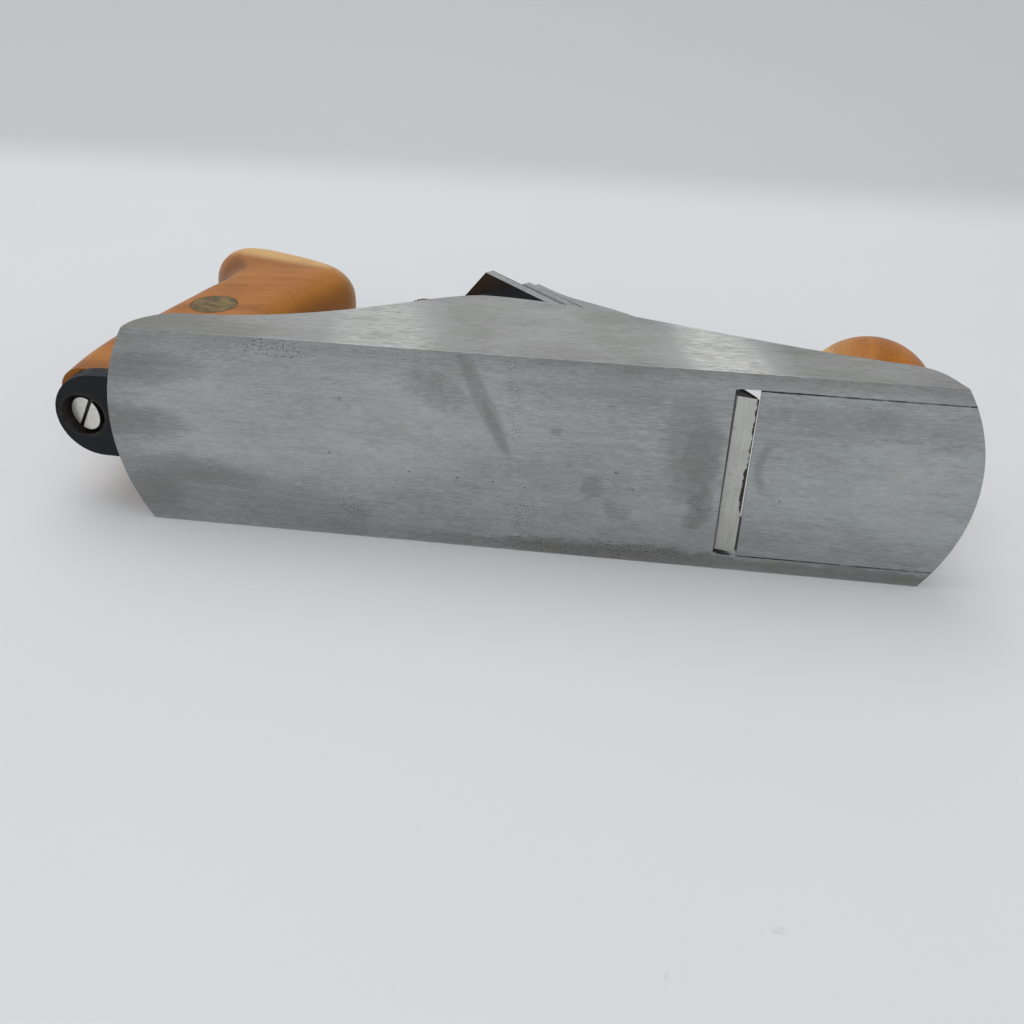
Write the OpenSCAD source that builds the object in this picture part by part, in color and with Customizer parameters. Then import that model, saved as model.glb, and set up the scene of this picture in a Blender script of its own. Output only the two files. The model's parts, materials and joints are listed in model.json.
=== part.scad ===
// Metal smoothing plane with an adjustable mouth, taken apart into its separate pieces.
// Millimetres. +X points to the toe, +Y to the left side, +Z up. The sole lies on Z = 0.
// Stations along X are counted from the heel-side edge of the mouth.

/* [Body casting] */
// Width of the sole
sole_w = 64.1; // [62:0.1:70]
// Length of the sole at its centre line
sole_len = 254.6; // [248:0.1:275]
// Reach of the toe ahead of the mouth
toe_reach = 70.5; // [68:0.1:80]
// Radius of the toe end, seen from below
toe_end_r = 55.6; // [50:0.1:70]
// Radius of the heel end, seen from below
heel_end_r = 61.8; // [50:0.1:75]
// Thickness of the floor behind the mouth
floor_t = 4.8; // [4.2:0.1:6]
// Thickness of the side walls
wall_t = 4.9; // [4:0.1:5.4]
// Height of the side walls at their peak
wall_peak_h = 45.4; // [42:0.1:50]
// Station of the peak of the side walls
wall_peak_x = -76; // [-80:0.5:-70]
// Height of the side walls at the heel shoulder
heel_wall_h = 13.8; // [12.5:0.1:17]
// Height of the side walls at the toe shoulder
toe_wall_h = 13.3; // [12.8:0.1:16]

/* [Mouth and toe plate] */
// Length of the mouth opening along the sole
mouth_len = 6.9; // [6.9:0.05:8]
// Gap between the mouth's ends and the inner faces of the side walls
mouth_gap = 0.25; // [0.2:0.05:0.8]
// Thickness of the sliding toe plate
toe_plate_t = 6; // [5:0.1:6.5]
// Travel of the toe plate towards the toe
toe_travel = 6; // [4:0.5:7]
// Top of the bridge over the toe plate
bridge_top = 11.6; // [11.2:0.1:12.4]
// Station of the back of the bridge
bridge_back = 24; // [23:0.5:28]

/* [Blade set] */
// Bedding angle of the blade above the sole
bed_angle = 45; // [44:0.5:47]
// Gap between the edges of the blade and the side walls
blade_gap = 1.75; // [1.6:0.05:3]
// Thickness of the blade
blade_t = 3.2; // [2.8:0.1:3.3]
// Length of the blade
blade_len = 135.4; // [130:0.2:160]
// Sharpening bevel of the blade
bevel_angle = 32; // [28:1:35]
// Size of the clipped corners at the blade's top end
blade_clip = 12.9; // [6:0.1:16]
// Angle by which the blade is set askew in its bed
blade_skew = 0.7; // [0:0.1:0.8]
// Station of the cutting edge
edge_x = 6.5; // [6.3:0.05:6.6]
// Height of the middle of the cutting edge above the sole, with the blade just drawn in
edge_z = 0.3; // [0.3:0.01:0.5]
// Thickness of the cap iron
cap_iron_t = 3.2; // [2.6:0.1:3.3]
// Length of the cap iron
cap_iron_len = 107.8; // [104:0.1:112]
// Distance of the cap iron's front edge from the cutting edge
cap_iron_setback = 1; // [0.4:0.1:2]

/* [Lever cap] */
// Distance of the lever cap's lip from the cutting edge
lip_z = 17; // [15:0.5:19]
// Distance of the lever cap's top end from the cutting edge
lever_cap_end = 106.5; // [103:0.1:108]
// Height of the lever cap's back above its seat, at its fullest
lever_cap_h = 8.8; // [8:0.1:9.4]
// Thickness of the lever cap at its lip and at its top end
lever_cap_thin = 2; // [1.7:0.1:2.6]
// Radius of the lever cap wheel
wheel_r = 10.5; // [8:0.1:11.5]
// Width of the lever cap wheel
wheel_w = 7; // [5:0.1:8]
// Travel of the lever cap on its keyhole
keyhole_travel = 11; // [10:0.5:12]

/* [Adjuster] */
// Depth of the spindle's axis below the blade's upper face
spindle_drop = 16.8; // [16:0.1:17.6]
// Radius of the spindle in the pivot barrel
spindle_r = 4; // [3.4:0.1:4.4]
// Radius of the spindle's threaded front part
thread_r = 3; // [2.5:0.1:3.2]
// Radius of the pivot barrel
barrel_r = 8; // [7:0.1:8.5]
// Radius of the adjuster wheel
adjuster_r = 12.2; // [10:0.1:12.6]
// Width of the adjuster wheel
adjuster_w = 12.5; // [9:0.1:13]
// Distance of the adjuster wheel's far face from the cutting edge
adjuster_end = 145.5; // [143:0.1:148]

/* [Front knob] */
// Radius of the knob's ball
ball_r = 21.95; // [19:0.05:22.4]
// Height of the ball's centre above the sole
ball_z = 55; // [52:0.5:60]
// Station of the knob's axis
knob_x = 46.8; // [46.8:0.1:47.8]
// Radius of the knob at its foot
knob_foot_r = 17; // [15:0.1:18]
// Radius of the knob at its neck
knob_neck_r = 10.5; // [9.5:0.1:12]

/* [Tote] */
// Thickness of the tote
tote_t = 26; // [25.2:0.1:28]
// Radius of the rounding round the tote's edges in its grip
tote_round = 12; // [10:0.1:12.4]
// Radius of the rounding at the tote's foot
tote_foot_round = 7.6; // [6:0.1:12]
// Radius of the barrel nut that shows in the tote's sides
barrel_nut_r = 7.9; // [6:0.1:8.2]
// Radius of the tote bolt's head
bolt_head_r = 5.4; // [4.6:0.1:5.8]
// Rake of the tote bolt from the vertical
bolt_rake = 16; // [15.5:0.5:17.5]
// Reach of the tail tongue behind the mouth
tail_reach = 204; // [203.8:0.1:206]
// Half width of the tail tongue
tongue_half = 13.6; // [13.5:0.1:16]

/* [Clearances] */
// Running clearance of a shaft in its bore, on the radius
shaft_fit = 0.05; // [0.02:0.01:0.08]
// Gap between faces that slide on each other
slide_fit = 0.05; // [0.03:0.01:0.08]
// Gap round a piece that sits loose in its pocket
pocket_fit = 0.3; // [0.2:0.05:0.35]

/* [Hidden] */
$fn = 72;
far = 400;
heel_reach = sole_len - toe_reach;
half_w = sole_w / 2;
inner_half = half_w - wall_t;
mouth_half = inner_half - mouth_gap;
mouth_w = 2 * mouth_half;
blade_w = 2 * (inner_half - blade_gap);
toe_centre_x = toe_reach - toe_end_r;
heel_centre_x = heel_end_r - heel_reach;
toe_corner_x = toe_centre_x + sqrt(toe_end_r * toe_end_r - half_w * half_w);
heel_corner_x = heel_centre_x - sqrt(heel_end_r * heel_end_r - half_w * half_w);
middle_x = (toe_reach - tail_reach) / 2;
toe_rim = [[0.2, 0.05], [2.2, 0.4], [3.2, 0.85], [8.6, 1]];
heel_rim = [[0.1, 0.15], [0.3, 0.55], [5.4, 0.9], [9, 1]];

// Stations on the bed, counted up from the cutting edge
bed_x = -blade_t - slide_fit;
screw_z = 52;
pin_z = 72;
barrel_z = 100;
wheel_z = 90;
frog_top_z = 119.6;
retract = 5;
advance = 0.25;
// Height at which the bed's plane, a little deepened, passes the mouth's heel-side edge
bed_at_mouth = edge_z + (bed_x - 0.1) * cos(bed_angle)
    + (edge_x + (bed_x - 0.1) * sin(bed_angle)) * tan(bed_angle);
side_swing = 1.8;
blade_shift = 0.1;

// Frog
plate_t = 6.5;
rib_inner = 13;
rib_outer = 20.4;
frog_half = inner_half - 1.1;
frog_base_t = 5.8;
seat_z = floor_t;
base_top = seat_z + frog_base_t;
rib_back_x = -95;
pad_r = 7.5;
pad_h = 3;
frog_screw_r = 3;
frog_screw_at = [[-60, 0], [-102, 18], [-102, -18]];
frog_screw_head_r = 5;
frog_screw_head_h = 5;
block_z = [88.5, 111.5];
block_drop = 26.5;

// Cap iron and its screw
cap_gap = 0.35;
cap_top = cap_gap + cap_iron_t;
cap_screw_head_r = 7.5;
cap_screw_head_h = 2.8;
cap_screw_r = 3.9;
cap_bevel_end = 17;
key_r = 7;

// Lever cap
cap_seat = cap_top + slide_fit;
lever_screw_r = 3;
lever_head_r = 6.2;
lever_head_h = 3.4;
web_t = 3.6;
skirt_t = 2.6;
web_seat = cap_seat + lever_cap_h - web_t;
wheel_shaft_r = 4;
wheel_boss_r = 7.5;
wheel_boss_top = cap_seat + 6.6;

// Adjuster
cup_r = 10.2;
cup_top = -blade_t - 0.35;
cup_floor = -blade_t - cap_screw_head_h - 0.3;
carriage_half = 8;
carriage_low = spindle_drop + 6;
collar_r = 5.6;
collar_w = 2.6;
way_half = 6.4;
neck_z = adjuster_end - adjuster_w;
spindle_start = 60;

// Front knob
boss_r = 7;
stud_r = 4;
stud_top = 46;
insert_r = 6;
insert_top = 38;
washer_r = 14;
washer_t = 1.5;
washer_z = bridge_top + slide_fit;
knob_z = washer_z + washer_t + slide_fit;
stop_screw_r = 1.6;
stop_screw_z = (toe_plate_t + bridge_top) / 2;
channel_top = toe_plate_t + 2 * slide_fit;

// Tote
head_at = [-195, 0, 5.96];
bolt_r = 3;
bolt_head_t = 2.6;
slot_turn = 30;
counterbore_r = 6.7;
tote_boss_r = 8.6;
tote_boss_h = 8;
nut_along = 66.6;
bolt_len = 74;
dowel_x = -128;
dowel_r = 2.5;
// Edge of the tote's flat side: up the back from the heel of its base to the horn's tip, then
// over the nose and down the front, with each front point across from one of the back
tote_edge = [[-191.4, 0], [-191.8, 10], [-191.9, 20], [-191.5, 36], [-190.5, 45],
    [-188.8, 54], [-186.8, 63], [-184.6, 72], [-182.5, 80], [-180.6, 88], [-177, 99.5],
    [-176.2, 107.5], [-179.3, 116.7], [-184.8, 125.6],
    [-185.9, 130.2],
    [-178.8, 129.5], [-164, 123.4], [-153.5, 117.6], [-149.7, 112], [-152, 104], [-155.8, 93],
    [-160, 82], [-163.5, 70], [-162.5, 57], [-155, 44], [-140, 32], [-126, 22], [-121, 12],
    [-122, 0]];

// Point on a cubic Bezier curve through its four control points
function bezier(p, t) = pow(1 - t, 3) * p[0] + 3 * pow(1 - t, 2) * t * p[1]
    + 3 * (1 - t) * t * t * p[2] + pow(t, 3) * p[3];
function bezier_run(p, steps) = [for (i = [0 : steps]) bezier(p, i / steps)];

// Smooth curve through all points of a list
function spline_point(a, b, c, d, t) = 0.5 * (2 * b + (c - a) * t
    + (2 * a - 5 * b + 4 * c - d) * t * t + (3 * b - a - 3 * c + d) * t * t * t);
function smooth_run(p, steps) = let (n = len(p) - 1, q = concat([2 * p[0] - p[1]], p,
    [2 * p[n] - p[n - 1]])) concat([for (i = [0 : n - 1], k = [0 : steps - 1])
    spline_point(q[i], q[i + 1], q[i + 2], q[i + 3], k / steps)], [p[n]]);

// Places its children in the frame whose origin is the middle of the object's base
module placed() {
    translate([-middle_x, 0, 0]) children();
}

// Bed frame: local Z runs up the bed from the cutting edge, local X points off the blade's face
module on_bed() {
    placed() translate([edge_x, 0, edge_z]) rotate([0, bed_angle - 90, 0]) children();
}

// Bed frame turned with the blade, which is set a little askew about the adjuster's pin
module with_blade() {
    on_bed() translate([0, blade_shift, pin_z]) rotate([blade_skew, 0, 0])
        translate([0, 0, -pin_z]) children();
}

// Extrudes an outline given in X and Z across the width w
module across(w) {
    rotate([90, 0, 0]) linear_extrude(w, center = true) children();
}

// Extrudes an outline given in Y and Z along X by t
module off_face(t) {
    rotate([90, 0, 90]) linear_extrude(t) children();
}

// Slot with round ends along local Y of the 2D sheet, between two stations
module slot2d(r, from, to) {
    translate([-r, from]) square([2 * r, to - from]);
    translate([0, from]) circle(r);
    translate([0, to]) circle(r);
}

// Half section of one end of the casting about its own centre: a rounded rim, then open above.
// The rim's curve is given as insets from the end's radius, each with its share of the height
function rim(r, h, curve) = concat([[0, 0], [r, 0], [r, curve[0][1] * h - 0.3]],
    bezier_run([for (c = curve) [r - c[0], c[1] * h]], 8),
    [[r - curve[3][0] - 30, h + 36], [0, h + 36]]);

// Everything that the casting may fill: the sole's outline with both ends' rims rounded over
module rounded_ends() {
    intersection() {
        translate([-far, -half_w, 0]) cube([2 * far, sole_w, wall_peak_h + 1]);
        union() {
            translate([heel_centre_x, -half_w, 0])
                cube([toe_centre_x - heel_centre_x, sole_w, wall_peak_h + 1]);
            intersection() {
                translate([toe_centre_x, 0, 0])
                    rotate_extrude($fn = 180) polygon(rim(toe_end_r, toe_wall_h, toe_rim));
                translate([toe_centre_x - 1, -far, 0]) cube([far, 2 * far, far]);
            }
            intersection() {
                translate([heel_centre_x, 0, 0])
                    rotate_extrude($fn = 180) polygon(rim(heel_end_r, heel_wall_h, heel_rim));
                translate([heel_centre_x + 1 - far, -far, 0]) cube([far, 2 * far, far]);
            }
        }
    }
}

// Side view of the walls: a hump over the blade between two low shoulders
module wall_outline() {
    heel_shoulder = [heel_corner_x + 12.4, heel_wall_h];
    toe_shoulder = [toe_corner_x - 10, toe_wall_h];
    peak = [wall_peak_x, wall_peak_h];
    polygon(concat(
        [[-far, -1], [-far, heel_wall_h - 0.2]],
        bezier_run([heel_shoulder, heel_shoulder + [49, 1.7], peak - [19, 1.4], peak], 24),
        bezier_run([peak, peak + [36, -0.4], toe_shoulder + [-45, 6.7], toe_shoulder], 30),
        [[far, toe_wall_h - 0.6], [far, -1]]));
}

// Places its children at each of the frog's screws, with Z = 0 on the sole
module at_frog_screws() {
    for (p = frog_screw_at) placed() translate([p[0], p[1], 0]) children();
}

module body_casting() {
    color("silver") difference() {
        union() {
            placed() intersection() {
                rounded_ends();
                union() {
                    difference() {
                        across(sole_w + 2) wall_outline();
                        translate([-far, -inner_half, -2]) cube([2 * far, 2 * inner_half, far]);
                    }
                    translate([-far, -inner_half - 1, -1])
                        cube([far + 1, 2 * inner_half + 2, floor_t + 1]);
                    translate([bridge_back, -inner_half - 1, -1])
                        cube([far, 2 * inner_half + 2, bridge_top + 1]);
                }
            }
            at_frog_screws() translate([0, 0, floor_t - 1]) cylinder(h = pad_h + 1, r = pad_r);
        }
        placed() across(mouth_w) polygon([[0, -1], [0, bed_at_mouth],
            [(bed_at_mouth - 40) / tan(bed_angle), 40], [bridge_back, 40],
            [bridge_back, channel_top], [far, channel_top], [far, -1]]);
        placed() linear_extrude(far) translate([knob_x, 0]) rotate(-90)
            slot2d(boss_r + pocket_fit, 0, toe_travel);
        placed() translate([bridge_back - 1, 0, stop_screw_z]) rotate([0, 90, 0])
            cylinder(h = knob_x - bridge_back, r = stop_screw_r + shaft_fit);
        at_frog_screws() translate([0, 0, 1.6])
            cylinder(h = far, r = frog_screw_r + shaft_fit);
    }
}

module toe_plate() {
    color("silver") placed() difference() {
        union() {
            intersection() {
                rounded_ends();
                translate([mouth_len, slide_fit - mouth_half, -1])
                    cube([far, mouth_w - 2 * slide_fit, toe_plate_t + 1]);
            }
            translate([knob_x, 0, 0]) cylinder(h = bridge_top - 0.3, r = boss_r);
        }
        translate([knob_x, 0, 1.6]) cylinder(h = far, r = stud_r + shaft_fit);
        translate([mouth_len, 0, 1.2]) rotate([0, 45, 0])
            translate([-far, -mouth_half, 0]) cube([far, mouth_w, far]);
    }
}

module knob_stud() {
    color("silver") placed() translate([knob_x, 0, 0]) {
        translate([0, 0, 1.7]) cylinder(h = stud_top - 1.7, r = stud_r);
    }
}

module knob_washer() {
    color("silver") placed() translate([knob_x, 0, washer_z]) difference() {
        cylinder(h = washer_t, r = washer_r);
        translate([0, 0, -1]) cylinder(h = 9, r = stud_r + pocket_fit);
    }
}

module knob_insert() {
    color("goldenrod") placed() translate([knob_x, 0, knob_z]) difference() {
        cylinder(h = insert_top - knob_z, r = insert_r);
        translate([0, 0, -1]) cylinder(h = far, r = stud_r + shaft_fit);
    }
}

// Half section of the turned knob, from its foot to the top of its ball
function knob_section() = let (
        join_r = ball_r * cos(43),
        join_z = ball_z - ball_r * sin(43)
    ) concat(
        [[0, knob_z], [knob_foot_r - 1, knob_z], [knob_foot_r, knob_z + 1]],
        bezier_run([[knob_foot_r, knob_z + 2.6], [knob_foot_r - 4, knob_z + 6],
            [knob_neck_r, knob_z + 7], [knob_neck_r, knob_z + 14]], 12),
        bezier_run([[knob_neck_r, knob_z + 14.4], [knob_neck_r, knob_z + 20],
            [join_r - 3.2, join_z - 3.4], [join_r, join_z]], 10),
        [for (a = [-41 : 3 : 88]) [ball_r * cos(a), ball_z + ball_r * sin(a)]],
        [[0, ball_z + ball_r]]);

module front_knob() {
    color("peru") placed() translate([knob_x, 0, 0]) difference() {
        rotate_extrude($fn = 96) polygon(knob_section());
        translate([0, 0, knob_z - 1]) cylinder(h = insert_top - knob_z + 1.2, r = insert_r);
        cylinder(h = stud_top + 2, r = stud_r + pocket_fit);
    }
}

module mouth_stop_screw() {
    tip_x = knob_x - boss_r - 0.1;
    head_x = bridge_back + 1.5;
    color("dimgray") placed() difference() {
        translate([head_x, 0, stop_screw_z]) rotate([0, 90, 0])
            cylinder(h = tip_x - head_x, r = stop_screw_r);
        translate([head_x - 1, -0.4, stop_screw_z - 5]) cube([2.2, 0.8, 10]);
    }
}

// Plan of the frog's base: full width between the walls, then tapering to the tail tongue
module frog_base_outline() {
    tail_x = tongue_half - tail_reach;
    intersection() {
        union() {
            polygon([[-3, -frog_half], [-3, frog_half], [-118, frog_half],
                [-170, tongue_half + 0.4], [tail_x, tongue_half], [tail_x, -tongue_half],
                [-170, -tongue_half - 0.4], [-118, -frog_half]]);
            translate([tail_x, 0]) circle(tongue_half, $fn = 120);
        }
        translate([-far, -frog_half]) square([2 * far, 2 * frog_half]);
    }
}

// Shape of the bed's face: wide near the mouth and narrower towards its top end
module bed_outline() {
    low = frog_half - 0.5;
    polygon([[-low, 0], [low, 0], [low, 58], [rib_outer, 72],
        [rib_outer, frog_top_z - 3], [rib_outer - 3, frog_top_z],
        [3 - rib_outer, frog_top_z], [-rib_outer, frog_top_z - 3], [-rib_outer, 72],
        [-low, 58]]);
}

// Side view of one rib between the base and the bed, in the bed's own frame
module rib_outline() {
    tilt = 90 - bed_angle;
    base_back = [(rib_back_x - edge_x) * cos(tilt) + seat_z * sin(tilt),
        -(rib_back_x - edge_x) * sin(tilt) + seat_z * cos(tilt)];
    foot_front = [(-6 - edge_x) * cos(tilt) + seat_z * sin(tilt),
        -(-6 - edge_x) * sin(tilt) + seat_z * cos(tilt)];
    polygon([foot_front, [bed_x - 1, foot_front[1] + 5], [bed_x - 1, frog_top_z - 2],
        [bed_x - plate_t, frog_top_z - 2], [-block_drop, block_z[1]], base_back]);
}

// Places its children along the tote bolt, with local Z from the head's outer face upwards
module on_tote_bolt() {
    placed() translate(head_at) rotate([0, bolt_rake, 0]) children();
}

module frog() {
    color("dimgray") difference() {
        union() {
            placed() translate([0, 0, seat_z]) linear_extrude(frog_base_t) frog_base_outline();
            on_bed() translate([bed_x - plate_t, 0, 0]) off_face(plate_t) bed_outline();
            for (side = [-1, 1]) on_bed()
                translate([0, side * (rib_inner + rib_outer) / 2, 0])
                across(rib_outer - rib_inner) rib_outline();
            on_bed() translate([-block_drop, -rib_inner - 0.5, block_z[0]])
                cube([block_drop + bed_x, 2 * rib_inner + 1, block_z[1] - block_z[0]]);
            on_bed() translate([bed_x - 15, -rib_inner - 0.5, screw_z - 8])
                cube([15, 2 * rib_inner + 1, 14]);
            intersection() {
                on_tote_bolt() cylinder(h = base_top + tote_boss_h - head_at[2],
                    r = tote_boss_r);
                placed() translate([-far, -far, seat_z]) cube(2 * far);
            }
        }
        placed() translate([-far, -far, seat_z - far]) cube([2 * far, 2 * far, far]);
        placed() translate([-far, -far, base_top + 200]) cube(2 * far);
        on_bed() translate([bed_x, -far, -50]) cube([far, 2 * far, far]);
        // Slot for the cup of the carriage
        on_bed() translate([-block_drop - 5, 0, 0]) off_face(block_drop + 10)
            slot2d(cup_r + side_swing, pin_z - advance - 0.6, pin_z + retract + 0.3);
        // Bore for the pivot barrel and the way for the spindle through it
        on_bed() translate([-block_drop + 1.2, 0, barrel_z]) rotate([0, 90, 0])
            cylinder(h = far, r = barrel_r + shaft_fit);
        on_bed() translate([-spindle_drop - way_half, -way_half, block_z[0] - 1])
            cube([2 * way_half, 2 * way_half, block_z[1] - block_z[0] + 12]);
        // Hole of the lever cap screw
        on_bed() translate([bed_x - 13, 0, screw_z]) rotate([0, 90, 0])
            cylinder(h = far, r = lever_screw_r + shaft_fit);
        // Frog screws with the pads they pull down on
        at_frog_screws() {
            cylinder(h = floor_t + pad_h + 0.1, r = pad_r + pocket_fit);
            cylinder(h = base_top + 1, r = frog_screw_r + 0.4);
            translate([0, 0, base_top]) cylinder(h = 26, r = frog_screw_head_r + 0.6);
        }
        // Seat of the tote bolt's head and the hole for its shank
        on_tote_bolt() {
            translate([0, 0, -20]) cylinder(h = 20 + bolt_head_t, r = counterbore_r);
            cylinder(h = far, r = bolt_r + pocket_fit);
        }
        placed() translate([dowel_x, 0, seat_z + 1.5]) cylinder(h = far, r = dowel_r + shaft_fit);
    }
}

module frog_screws() {
    color("dimgray") at_frog_screws() difference() {
        union() {
            translate([0, 0, 1.8]) cylinder(h = base_top - 1.8 + 0.1, r = frog_screw_r);
            translate([0, 0, base_top]) cylinder(h = frog_screw_head_h, r = frog_screw_head_r);
        }
        translate([0, 0, base_top + 2]) cylinder(h = 9, r = 2.4, $fn = 6);
    }
}

module blade_iron() {
    half = blade_w / 2;
    color("lightgray") with_blade() intersection() {
        across(blade_w + 2) polygon([[0, 0], [0, blade_len], [-blade_t, blade_len],
            [-blade_t, blade_t / tan(bevel_angle)]]);
        translate([-blade_t - 1, 0, 0]) off_face(blade_t + 2) difference() {
            polygon([[-half, -1], [half, -1], [half, blade_len - blade_clip],
                [half - blade_clip, blade_len], [blade_clip - half, blade_len],
                [-half, blade_len - blade_clip]]);
            slot2d(key_r, screw_z - 8, screw_z + 8);
            slot2d(cap_screw_r + 0.4, screw_z, pin_z + 8);
        }
    }
}

module cap_iron() {
    half = blade_w / 2;
    front = cap_iron_setback;
    end = front + cap_iron_len;
    color("gainsboro") with_blade() intersection() {
        across(blade_w + 2) polygon([[0, front], [0, front + 2], [cap_gap, front + 5],
            [cap_gap, end], [cap_top - 0.4, end], [cap_top, end - 0.4],
            [cap_top, cap_bevel_end], [0.5, front]]);
        translate([-1, 0, 0]) off_face(cap_top + 2) difference() {
            polygon([[-half, 0], [half, 0], [half, end - 2.5], [half - 2.5, end],
                [2.5 - half, end], [-half, end - 2.5]]);
            slot2d(key_r, screw_z - 8, screw_z + 4);
            translate([0, pin_z]) circle(cap_screw_r + shaft_fit);
        }
    }
}

module cap_iron_screw() {
    color("dimgray") with_blade() difference() {
        translate([-blade_t - cap_screw_head_h, 0, pin_z]) rotate([0, 90, 0]) {
            cylinder(h = cap_screw_head_h, r = cap_screw_head_r);
            cylinder(h = cap_screw_head_h + blade_t + cap_top - 0.2, r = cap_screw_r);
        }
        translate([-blade_t - cap_screw_head_h - 1, -0.7, pin_z - 20]) cube([2, 1.4, 40]);
    }
}

// Side view of the lever cap: thin at the lip and at the top end, full over the screw
module lever_cap_outline() {
    full = cap_seat + lever_cap_h;
    thin = cap_seat + lever_cap_thin;
    end = lever_cap_end;
    polygon(concat(
        [[cap_seat, lip_z], [cap_seat + 0.8, lip_z]],
        bezier_run([[thin, lip_z + 1.2], [thin + 4.6, lip_z + 10],
            [full, screw_z - 16], [full, screw_z + 2]], 14),
        bezier_run([[full, screw_z + 3], [full, screw_z + 24],
            [thin + 0.7, wheel_z - 10], [thin, wheel_z + 4]], 14),
        [[thin, end - 0.8]],
        [[thin - 0.6, end], [cap_seat + 0.3, end], [cap_seat + 0.3, lip_z + 8],
            [cap_seat, lip_z + 6]]));
}

// Side view of the hollow under the lever cap's web, between its two side skirts
module lever_cap_hollow() {
    end = lever_cap_end;
    polygon([[cap_seat - 1, lip_z + 8], [cap_seat + 0.3, lip_z + 8], [web_seat, screw_z - 24],
        [web_seat, screw_z + 22], [cap_seat + 0.3, end - 10], [cap_seat - 1, end - 10]]);
}

module lever_cap() {
    half = blade_w / 2;
    end = lever_cap_end;
    color("darkgray") on_bed() difference() {
        union() {
            intersection() {
                off_face(30) polygon([[-half, lip_z - 1], [half, lip_z - 1],
                    [half, end - 3], [half - 3, end], [3 - half, end], [-half, end - 3]]);
                across(blade_w + 2) lever_cap_outline();
            }
            translate([cap_seat + 0.3, 0, wheel_z]) rotate([0, 90, 0])
                cylinder(h = wheel_boss_top - cap_seat - 0.3, r = wheel_boss_r);
        }
        across(blade_w - 2 * skirt_t) lever_cap_hollow();
        off_face(30) slot2d(lever_screw_r + 0.25, screw_z - keyhole_travel, screw_z);
        translate([0, 0, screw_z - keyhole_travel]) rotate([0, 90, 0])
            cylinder(h = 30, r = lever_head_r + 0.4);
        translate([0, 0, wheel_z]) rotate([0, 90, 0])
            cylinder(h = 30, r = wheel_shaft_r + shaft_fit);
    }
}

module lever_cap_screw() {
    seat = cap_seat + lever_cap_h + slide_fit;
    color("dimgray") on_bed() difference() {
        translate([0, 0, screw_z]) rotate([0, 90, 0]) {
            translate([0, 0, bed_x - 12]) cylinder(h = seat - bed_x + 12, r = lever_screw_r);
            translate([0, 0, seat]) cylinder(h = lever_head_h, r = lever_head_r);
        }
        translate([seat + lever_head_h - 1.4, -0.7, screw_z - 20]) cube([5, 1.4, 40]);
    }
}

// Disc with a straight knurl round its rim and chamfered edges, along local Z
module knurled(r, w, teeth, depth) {
    intersection() {
        linear_extrude(w) polygon([for (i = [0 : 2 * teeth - 1])
            (r - (i % 2) * depth) * [cos(180 * i / teeth), sin(180 * i / teeth)]]);
        rotate_extrude() polygon([[0, 0], [r - 1, 0], [r + 0.1, 1.1], [r + 0.1, w - 1.1],
            [r - 1, w], [0, w]]);
    }
}

module lever_cap_wheel() {
    low = wheel_boss_top + 1.2;
    color("goldenrod") on_bed() translate([0, 0, wheel_z]) rotate([0, 90, 0]) {
        translate([0, 0, cap_seat]) cylinder(h = low - cap_seat + 1, r = wheel_shaft_r);
        translate([0, 0, low]) knurled(wheel_r, wheel_w, 40, 0.5);
    }
}

module adjuster_carriage() {
    color("dimgray") on_bed() difference() {
        union() {
            translate([-carriage_low, -carriage_half, pin_z - carriage_half])
                cube([carriage_low + cup_floor + 0.1, 2 * carriage_half, 2 * carriage_half]);
            translate([cup_floor - 2.4, 0, pin_z]) rotate([0, 90, 0])
                cylinder(h = cup_top - cup_floor + 2.4, r = cup_r);
        }
        translate([cup_floor, 0, pin_z]) rotate([0, 90, 0])
            cylinder(h = 20, r = cap_screw_head_r + 0.2);
        translate([-spindle_drop, 0, 0]) cylinder(h = far, r = thread_r + shaft_fit);
    }
}

module adjuster_spindle() {
    behind = barrel_z + barrel_r + 0.1;
    color("silver") on_bed() translate([-spindle_drop, 0, 0]) {
        translate([0, 0, spindle_start]) cylinder(h = 34, r = thread_r);
        translate([0, 0, barrel_z - barrel_r - 4.4]) cylinder(h = neck_z - barrel_z + barrel_r
            + 4.4 + adjuster_w - 0.6, r = spindle_r);
        translate([0, 0, behind]) cylinder(h = collar_w, r = collar_r);
    }
}

module spindle_collar() {
    front = barrel_z - barrel_r - 0.1 - collar_w;
    color("dimgray") on_bed() translate([-spindle_drop, 0, front]) difference() {
        cylinder(h = collar_w, r = collar_r);
        translate([0, 0, -1]) cylinder(h = 9, r = spindle_r + shaft_fit);
    }
}

module adjuster_barrel() {
    color("goldenrod") on_bed() difference() {
        translate([-block_drop + 1.5, 0, barrel_z]) rotate([0, 90, 0])
            cylinder(h = block_drop + bed_x - 2, r = barrel_r);
        translate([-spindle_drop, 0, 0]) cylinder(h = far, r = spindle_r + shaft_fit);
    }
}

module adjuster_wheel() {
    color("goldenrod") on_bed() translate([-spindle_drop, 0, neck_z]) difference() {
        union() {
            knurled(adjuster_r, adjuster_w, 48, 0.5);
            translate([0, 0, -3]) cylinder(h = 4, r = 7);
        }
        translate([0, 0, -4]) cylinder(h = adjuster_w + 3.5, r = spindle_r + shaft_fit);
    }
}

// Radius of the tote's rounded edge at a height above the sole: small at the foot
function edge_round(z) = let (t = max(0, min(1, (z - 20) / 45)))
    tote_foot_round + (tote_round - tote_foot_round) * t * t * (3 - 2 * t);

// One cross section of the tote's edge: steps out from the flat side, and across its thickness
function edge_ring(r) = concat(
    [for (a = [90 : -15 : 0]) [tote_round - r + r * cos(a), tote_t / 2 - r + r * sin(a)]],
    [for (a = [0 : -15 : -90]) [tote_round - r + r * cos(a), r + r * sin(a) - tote_t / 2]]);

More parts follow.
